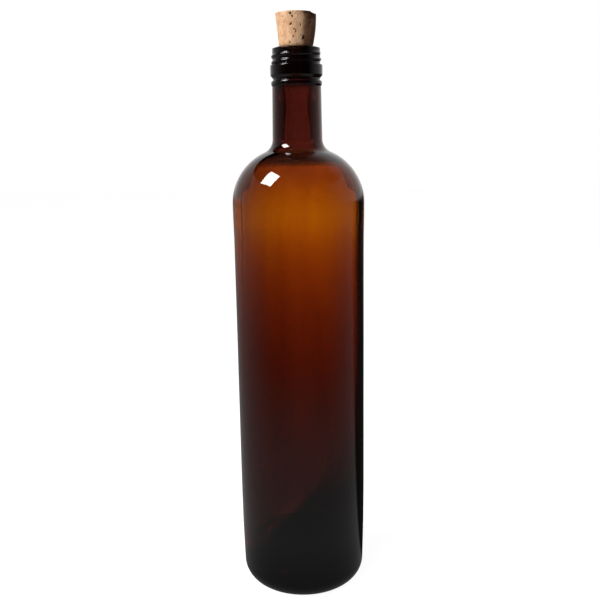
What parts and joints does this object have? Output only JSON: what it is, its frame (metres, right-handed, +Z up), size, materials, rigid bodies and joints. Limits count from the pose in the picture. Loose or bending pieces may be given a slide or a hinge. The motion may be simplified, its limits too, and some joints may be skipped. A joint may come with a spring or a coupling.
{
  "type": "glass bottle",
  "caption": "Tall round amber glass bottle with a domed shoulder, slim neck and screw finish, stopped with a tapered cork; hollow and empty.",
  "frame": {"origin": "middle of the ring that the bottle stands on, at floor height", "axes": "+Z up along the bottle's axis, -Y towards the viewer, the bite out of the cork's rim towards +X"},
  "size_m": [0.0768, 0.0768, 0.341],
  "materials": {
    "amber_glass": "smooth moulded dark amber glass, polished",
    "cork": "natural cork, matt, with dark pores"
  },
  "bodies": {
    "root": {"glass_bottle": "amber_glass", "cork_stopper": "cork"}
  },
  "joints": []
}
